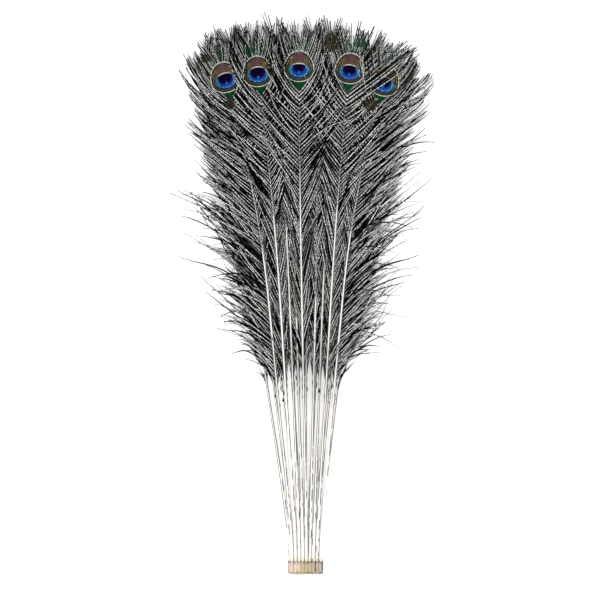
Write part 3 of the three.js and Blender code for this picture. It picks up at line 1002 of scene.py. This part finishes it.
def tape_sheet():
    """The wall of the band: its outer face, its inner face and the two edges between them."""
    inner = QUILL_RADIUS + TAPE_CLEARANCE
    axis, normal = belt_line(inner)
    count = len(axis)
    round_it = np.arange(count) / count * 2 * math.pi
    row = np.sign(normal[:, 1])
    between = 1 - np.cos((axis[:, 0] - row * ROW_STAGGER) / QUILL_PITCH * 2 * math.pi)
    dip = TAPE_DIP / 2 * between * abs(normal[:, 1]) ** 6
    low = BAND_START + ripple(RAGGED_LOW, round_it)
    high = BAND_END + ripple(RAGGED_HIGH, round_it)
    share = np.linspace(0, 1, TAPE_ROWS)[:, None]
    y = low + (high - low) * share
    turn_edge = TURN_EDGE + TURN_SLANT * np.sin(round_it + 0.6)
    rounded = 1 - EDGE_ROUND * np.exp(-share / EDGE_SHARE) - EDGE_ROUND * np.exp(-(1 - share) / EDGE_SHARE)
    outer = inner + TAPE_THICKNESS * rounded - dip
    outer = outer + TURN_STEP * (smooth(y, turn_edge, turn_edge + TURN_SOFT) - 0.5)
    outer = outer + ripple(CREASES, round_it, y)
    shells = []
    for reach in (outer, np.full_like(outer, inner) - dip * INNER_DIP):
        across = axis[:, 0] + normal[:, 0] * reach
        up = axis[:, 1] + normal[:, 1] * reach
        shells.append(np.stack([across, y, np.maximum(up, FLOOR_CLEAR)], -1))
    index = np.arange(2 * TAPE_ROWS * count).reshape(2, TAPE_ROWS, count)
    beside = np.roll(index, -1, 2)
    faces = [
        np.stack([index[0, :-1], index[0, 1:], beside[0, 1:], beside[0, :-1]], -1),
        np.stack([index[1, :-1], beside[1, :-1], beside[1, 1:], index[1, 1:]], -1),
        np.stack([index[0, 0], beside[0, 0], beside[1, 0], index[1, 0]], -1),
        np.stack([index[0, -1], index[1, -1], beside[1, -1], beside[0, -1]], -1),
    ]
    points = np.concatenate([shell.reshape(-1, 3) for shell in shells])
    faces = [face.reshape(-1, 4) for face in faces]
    hollow = np.tile(between / 2, TAPE_ROWS * 2)
    carried = np.stack([points[:, 0], points[:, 1], hollow], -1)
    return dict(points=points, faces=faces, carried=carried, finish=0)


tape_finish, dye, shader = finish_of("tape", 0.65, Specular_IOR_Level=0.3)
x, y, hollow = dye.attribute("carried")
cloth = dye.mix(x.step(-0.024, -0.012), SALMON, PEACH)
cloth = dye.mix(x.step(-0.013, -0.002), cloth, OCHRE)
cloth = dye.mix(x.step(0.010, 0.020), cloth, LILAC)
crepe = dye.noise(dye.place(x * 900.0, y * 120.0, hollow), 1.0, 3.0)
# Painted shade darkens the dips between the quills, broken up by the crepe
cloth = dye.mix(hollow.step(0.35, 0.95) * crepe.step(0.35, 0.6) * 0.8, cloth, DIP_SHADE)

# Dirt: a line and a hook on the right and specks along both edges, and painted shade down the band's right
# end, where it turns down
side_line = abs(x - 0.0137).step(0.0009, 0.0004) * y.step(0.0045, 0.006)
from_hook = x - 0.0165
hook = abs((y - 0.0078) + from_hook * from_hook * -420.0).step(0.0006, 0.0002)
hook = hook * abs(x - 0.0163).step(0.0027, 0.0024)
cloth = dye.mix(side_line + hook, cloth, TAPE_DIRT_AND_SHADE)
edge = y.step(0.0150, 0.0185) + y.step(0.0075, 0.0045)
dots = dye.noise(dye.place(x * 700.0, y * 700.0, 1.0), 1.0).step(0.50, 0.56)
cloth = dye.mix(edge * dots * 0.9, cloth, TAPE_DIRT_AND_SHADE)
# Painted shade where the band's right end turns down
right_end_shade = abs(x - 0.0235).step(0.0016, 0.0006)
dye.mix(right_end_shade * 0.7, cloth, TAPE_DIRT_AND_SHADE).reach(shader, "Base Color")

tape = mesh_piece("tape_band_wound", [tape_sheet()], {}, [tape_finish])
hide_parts("tape_band")
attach(tape, "root")

# The table, the light and the camera
# A plain white table that glows faintly to lift the shadows on it, under a large soft lamp and a weaker one,
# and a camera straight above the bunch.
FLOOR_HALF = 3.0
WHITE = (1, 1, 1, 1)
FLOOR_WHITE = (0.93, 0.93, 0.93, 1)
FLOOR_GLOW = 0.35
SKY_STRENGTH = 0.62
VIEW_WIDTH = 0.840
LENS = 135
SENSOR = 36
VIEW_CENTRE = (-0.0082, -0.0037)

floor_mesh = bpy.data.meshes.new("table")
corners = [(-FLOOR_HALF, -FLOOR_HALF, 0), (FLOOR_HALF, -FLOOR_HALF, 0)]
corners += [(FLOOR_HALF, FLOOR_HALF, 0), (-FLOOR_HALF, FLOOR_HALF, 0)]
floor_mesh.from_pydata(corners, [], [(0, 1, 2, 3)])
floor = bpy.data.objects.new("table", floor_mesh)
bpy.context.scene.collection.objects.link(floor)
floor_finish, dye, shader = finish_of("table_white", 0.9, Specular_IOR_Level=0.1)
shader.inputs["Base Color"].default_value = FLOOR_WHITE
shader.inputs["Emission Color"].default_value = WHITE
shader.inputs["Emission Strength"].default_value = FLOOR_GLOW
floor_mesh.materials.append(floor_finish)

world = bpy.data.worlds.new("studio")
bpy.context.scene.world = world
world.use_nodes = True
world.node_tree.nodes["Background"].inputs["Color"].default_value = WHITE
world.node_tree.nodes["Background"].inputs["Strength"].default_value = SKY_STRENGTH


def soft_lamp(name, place, size, power):
    """A square lamp that faces the middle of the bunch."""
    data = bpy.data.lights.new(name, "AREA")
    data.size = size
    data.energy = power
    lamp = bpy.data.objects.new(name, data)
    lamp.location = place
    lamp.rotation_mode = "QUATERNION"
    lamp.rotation_quaternion = lamp.location.to_track_quat("Z", "Y")
    bpy.context.scene.collection.objects.link(lamp)


soft_lamp("key_lamp", (-0.8, -1.0, 2.3), 1.2, 36)
soft_lamp("fill_lamp", (1.1, -0.3, 2.3), 1.6, 12)

lens_data = bpy.data.cameras.new("camera")
lens_data.lens = LENS
lens_data.sensor_width = SENSOR
camera = bpy.data.objects.new("camera", lens_data)
camera.location = (*VIEW_CENTRE, VIEW_WIDTH / SENSOR * LENS)
bpy.context.scene.collection.objects.link(camera)
bpy.context.scene.camera = camera
bpy.context.scene.view_settings.view_transform = "Standard"
